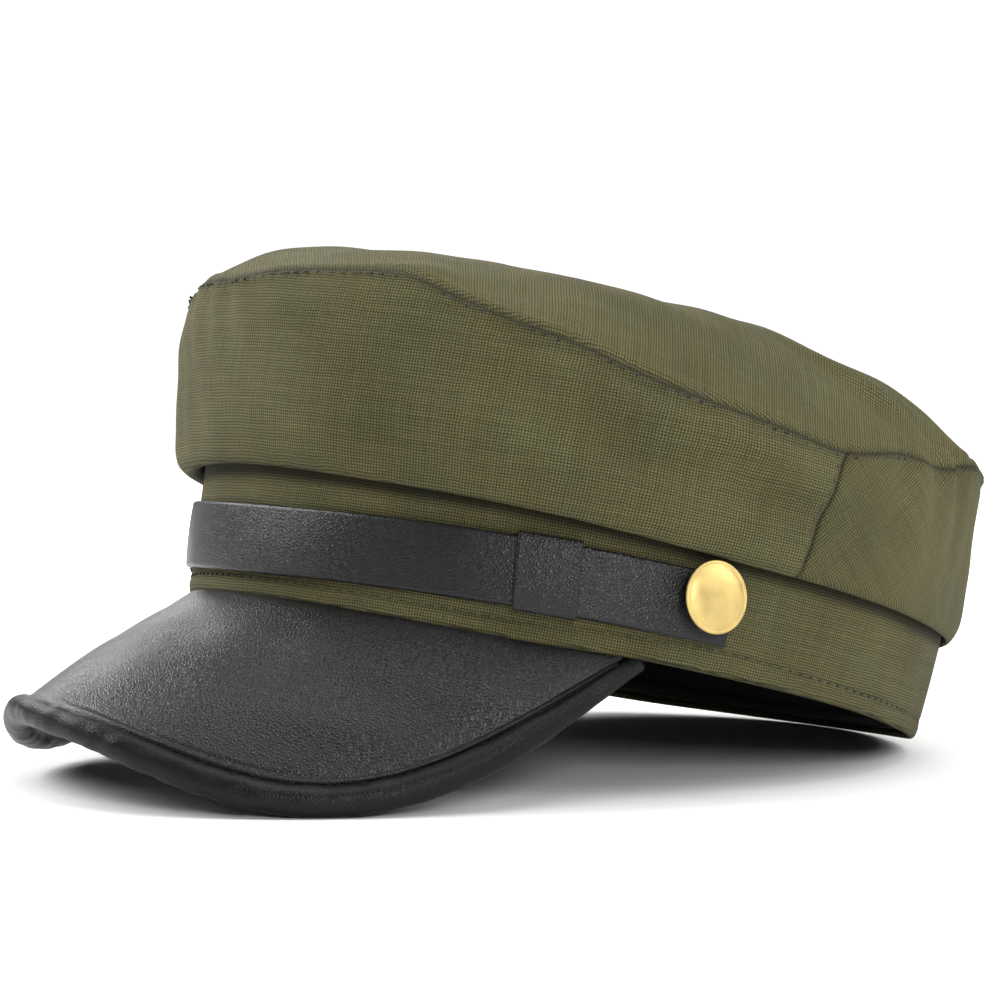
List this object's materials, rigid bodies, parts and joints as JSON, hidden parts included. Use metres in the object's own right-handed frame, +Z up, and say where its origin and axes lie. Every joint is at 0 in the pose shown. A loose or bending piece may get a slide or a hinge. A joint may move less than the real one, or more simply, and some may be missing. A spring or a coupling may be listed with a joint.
{
  "type": "military peaked cap",
  "caption": "Soft canvas peaked cap with a stiff front, rounded crown, bound leather-look visor and a front strap with slides and side buttons.",
  "frame": {"origin": "centre of the bottom of the cap's box as it stands on a surface, on the two low sides of the visor and the back of the rim", "axes": "+Z up off the surface, -Y the way the visor points, +X the wearer's left"},
  "size_m": [0.201, 0.266, 0.1299],
  "materials": {
    "canvas": "olive woven canvas",
    "leather": "black grained leather-look, satin",
    "lining": "smooth black lining cloth",
    "interlining": "stiff woven interlining",
    "stiffener": "plain",
    "board": "plain",
    "filler": "plain",
    "button_metal": "satin gold",
    "washer_metal": "plain"
  },
  "bodies": {
    "cap": {"crown_top_panel": "canvas", "crown_front_panel": "canvas", "crown_rear_panel": "canvas", "front_interlining": "interlining", "lining_top": "lining", "lining_side": "lining", "headband_cover": "canvas", "headband_stiffener": "stiffener", "sweatband": "leather", "visor_board": "board", "visor_top_cover": "leather", "visor_under_cover": "leather", "visor_edge_binding": "leather", "visor_edge_cord": "filler"},
    "strap": {"front_strap": "leather"},
    "slide_left": {"keeper_left": "leather"},
    "slide_right": {"keeper_right": "leather"},
    "snap_left": {"button_left": "button_metal", "button_post_left": "button_metal", "button_washer_left": "washer_metal"},
    "snap_right": {"button_right": "button_metal", "button_post_right": "button_metal", "button_washer_right": "washer_metal"}
  },
  "joints": [
    {"name": "strap_swing", "type": "hinge", "parent": "cap", "child": "strap", "pos_m": [0, -0.00507, 0.04727], "axis": [1, 0, 0], "range_deg": [-2, 2]},
    {"name": "left_slide_along_strap", "type": "hinge", "parent": "strap", "child": "slide_left", "pos_m": [-0.00543, 0.02113, 0.03854], "axis": [0, 0.2413, 0.9704], "range_deg": [-5, 5]},
    {"name": "right_slide_along_strap", "type": "hinge", "parent": "strap", "child": "slide_right", "pos_m": [0.00543, 0.02113, 0.03854], "axis": [0, 0.2413, 0.9704], "range_deg": [-5, 5]},
    {"name": "left_button_spin", "type": "hinge", "parent": "cap", "child": "snap_left", "pos_m": [0.08796, -0.00507, 0.04727], "axis": [0.9916, -0.0857, 0.0974], "continuous": true},
    {"name": "right_button_spin", "type": "hinge", "parent": "cap", "child": "snap_right", "pos_m": [-0.08796, -0.00507, 0.04727], "axis": [-0.9916, -0.0857, 0.0974], "continuous": true}
  ]
}
